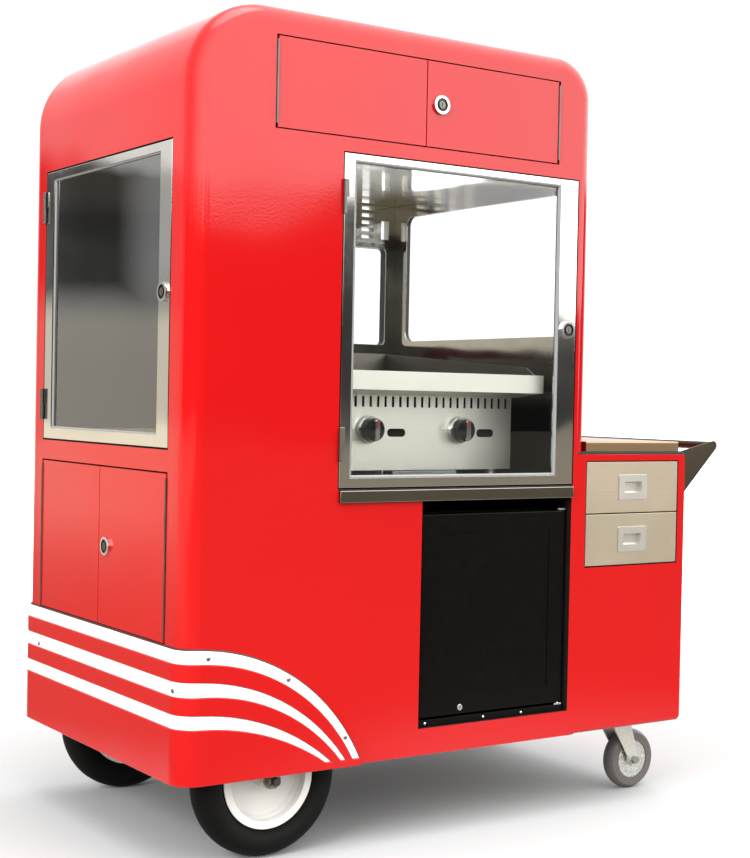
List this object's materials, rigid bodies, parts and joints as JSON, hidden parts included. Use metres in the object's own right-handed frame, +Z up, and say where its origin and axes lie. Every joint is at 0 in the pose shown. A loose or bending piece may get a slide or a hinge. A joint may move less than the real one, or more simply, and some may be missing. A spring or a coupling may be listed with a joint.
{
  "type": "food vending cart",
  "caption": "Enclosed food vending cart with glazed doors round a gas griddle, lockers, a fridge, drawers, a side worktop, a push handle, fixed wheels and swivel casters.",
  "frame": {"origin": "on the floor, at the middle of the cart's length and depth", "axes": "+X towards the push handle, +Y towards the back, +Z up; the operator's front faces -Y"},
  "size_m": [1.634, 0.92, 1.915],
  "materials": {
    "red_gelcoat": "high-gloss red gelcoat on glass-fibre mouldings",
    "white_trim": "gloss white strip",
    "dark_paint": "satin dark paint on welded tube",
    "white_paint": "gloss white paint",
    "tyre": "plain black rubber",
    "grey_rubber": "grey moulded tread",
    "zinc_plate": "zinc plated",
    "bright_chrome": "bright plated",
    "brushed_stainless": "brushed",
    "polished_stainless": "mirror polished",
    "griddle_steel": "ground plate",
    "clear_glass": "clear toughened",
    "fridge_black": "satin black"
  },
  "bodies": {
    "cart": {"chassis_frame": "dark_paint", "axle": "zinc_plate", "axle_nuts": "zinc_plate", "caster_plates": "zinc_plate", "front_panel": "red_gelcoat", "back_panel": "red_gelcoat", "end_panel": "red_gelcoat", "roof_panel": "red_gelcoat", "serving_panel": "red_gelcoat", "low_panel": "red_gelcoat", "skirt": "red_gelcoat", "skirt_stripes": "white_trim", "floor_pan": "brushed_stainless", "bay_walls": "brushed_stainless", "cooking_deck": "brushed_stainless", "linings": "polished_stainless", "worktop": "brushed_stainless", "push_handle": "brushed_stainless", "sill": "brushed_stainless", "hinge_leaves": "bright_chrome", "hinge_pins": "bright_chrome", "griddle_body": "brushed_stainless", "griddle_plate": "griddle_steel", "griddle_feet": "brushed_stainless", "fridge_cabinet": "fridge_black", "fridge_hinges": "bright_chrome", "drawer_runners": "brushed_stainless"},
    "front_wheel": {"wheel_front": "white_paint", "tyre_front": "tyre"},
    "back_wheel": {"wheel_back": "white_paint", "tyre_back": "tyre"},
    "front_caster": {"caster_fork_front": "zinc_plate", "caster_bolt_front": "bright_chrome"},
    "back_caster": {"caster_fork_back": "zinc_plate", "caster_bolt_back": "bright_chrome"},
    "front_caster_wheel": {"caster_hub_front": "zinc_plate", "caster_tread_front": "grey_rubber"},
    "back_caster_wheel": {"caster_hub_back": "zinc_plate", "caster_tread_back": "grey_rubber"},
    "front_door": {"front_door_frame": "polished_stainless", "front_door_glass": "clear_glass"},
    "end_door": {"end_door_frame": "polished_stainless", "end_door_glass": "clear_glass"},
    "upper_left": {"upper_door_left": "red_gelcoat"},
    "upper_right": {"upper_door_right": "red_gelcoat"},
    "locker_back": {"locker_door_back": "red_gelcoat"},
    "locker_front": {"locker_door_front": "red_gelcoat"},
    "fridge_leaf": {"fridge_door": "fridge_black"},
    "top_drawer": {"drawer_top": "brushed_stainless", "drawer_front_top": "brushed_stainless"},
    "bottom_drawer": {"drawer_bottom": "brushed_stainless", "drawer_front_bottom": "brushed_stainless"},
    "left_knob": {"knob_left": "bright_chrome"},
    "right_knob": {"knob_right": "bright_chrome"},
    "tray": {"grease_tray": "brushed_stainless"},
    "front_lock": {"front_door_lock": "bright_chrome"},
    "end_lock": {"end_door_lock": "bright_chrome"},
    "upper_lock": {"upper_door_lock": "bright_chrome"},
    "locker_lock": {"locker_door_lock": "bright_chrome"},
    "fridge_key": {"fridge_lock": "bright_chrome"}
  },
  "joints": [
    {"name": "front_wheel_spin", "type": "hinge", "parent": "cart", "child": "front_wheel", "pos_m": [-0.557, -0.365, 0.18], "axis": [0, 1, 0], "continuous": true},
    {"name": "back_wheel_spin", "type": "hinge", "parent": "cart", "child": "back_wheel", "pos_m": [-0.557, 0.365, 0.18], "axis": [0, 1, 0], "continuous": true},
    {"name": "front_caster_swivel", "type": "hinge", "parent": "cart", "child": "front_caster", "pos_m": [0.577, -0.313, 0.18], "axis": [0, 0, 1], "continuous": true},
    {"name": "back_caster_swivel", "type": "hinge", "parent": "cart", "child": "back_caster", "pos_m": [0.577, 0.313, 0.18], "axis": [0, 0, 1], "continuous": true},
    {"name": "front_caster_spin", "type": "hinge", "parent": "front_caster", "child": "front_caster_wheel", "pos_m": [0.622, -0.313, 0.08], "axis": [0, 1, 0], "continuous": true},
    {"name": "back_caster_spin", "type": "hinge", "parent": "back_caster", "child": "back_caster_wheel", "pos_m": [0.622, 0.313, 0.08], "axis": [0, 1, 0], "continuous": true},
    {"name": "front_door_hinge", "type": "hinge", "parent": "cart", "child": "front_door", "pos_m": [-0.42, -0.4555, 1.215], "axis": [0, 0, -1], "range_deg": [0, 110]},
    {"name": "end_door_hinge", "type": "hinge", "parent": "cart", "child": "end_door", "pos_m": [-0.8125, 0.356, 1.265], "axis": [0, 0, -1], "range_deg": [0, 110]},
    {"name": "upper_left_hinge", "type": "hinge", "parent": "cart", "child": "upper_left", "pos_m": [-0.59975, -0.4514, 1.7435], "axis": [0, 0, -1], "range_deg": [0, 120]},
    {"name": "upper_right_hinge", "type": "hinge", "parent": "cart", "child": "upper_right", "pos_m": [0.21275, -0.4514, 1.7435], "axis": [0, 0, 1], "range_deg": [0, 120]},
    {"name": "locker_back_hinge", "type": "hinge", "parent": "cart", "child": "locker_back", "pos_m": [-0.8084, 0.35475, 0.6865], "axis": [0, 0, -1], "range_deg": [0, 120]},
    {"name": "locker_front_hinge", "type": "hinge", "parent": "cart", "child": "locker_front", "pos_m": [-0.8084, -0.35475, 0.6865], "axis": [0, 0, 1], "range_deg": [0, 120]},
    {"name": "fridge_hinge", "type": "hinge", "parent": "cart", "child": "fridge_leaf", "pos_m": [0.2635, -0.43, 0.515], "axis": [0, 0, 1], "range_deg": [0, 95]},
    {"name": "top_drawer_slide", "type": "slide", "parent": "cart", "child": "top_drawer", "axis": [0, -1, 0], "range_m": [0, 0.42]},
    {"name": "bottom_drawer_slide", "type": "slide", "parent": "cart", "child": "bottom_drawer", "axis": [0, -1, 0], "range_m": [0, 0.42]},
    {"name": "tray_slide", "type": "slide", "parent": "cart", "child": "tray", "axis": [0, -1, 0], "range_m": [0, 0.09]},
    {"name": "left_knob_turn", "type": "hinge", "parent": "cart", "child": "left_knob", "pos_m": [-0.2355, -0.3, 0.972], "axis": [0, -1, 0], "range_deg": [0, 180]},
    {"name": "right_knob_turn", "type": "hinge", "parent": "cart", "child": "right_knob", "pos_m": [0.04, -0.3, 0.972], "axis": [0, -1, 0], "range_deg": [0, 180]},
    {"name": "front_lock_turn", "type": "hinge", "parent": "front_door", "child": "front_lock", "pos_m": [0.253, -0.45, 1.229], "axis": [0, -1, 0], "range_deg": [0, 90]},
    {"name": "end_lock_turn", "type": "hinge", "parent": "end_door", "child": "end_lock", "pos_m": [-0.807, -0.327, 1.273], "axis": [-1, 0, 0], "range_deg": [0, 90]},
    {"name": "upper_lock_turn", "type": "hinge", "parent": "upper_right", "child": "upper_lock", "pos_m": [-0.1535, -0.45, 1.7435], "axis": [0, 1, 0], "range_deg": [0, 90]},
    {"name": "locker_lock_turn", "type": "hinge", "parent": "locker_front", "child": "locker_lock", "pos_m": [-0.807, -0.045, 0.6865], "axis": [1, 0, 0], "range_deg": [0, 90]},
    {"name": "fridge_lock_turn", "type": "hinge", "parent": "fridge_leaf", "child": "fridge_key", "pos_m": [-0.0515, -0.438, 0.303], "axis": [0, -1, 0], "range_deg": [0, 90]}
  ]
}
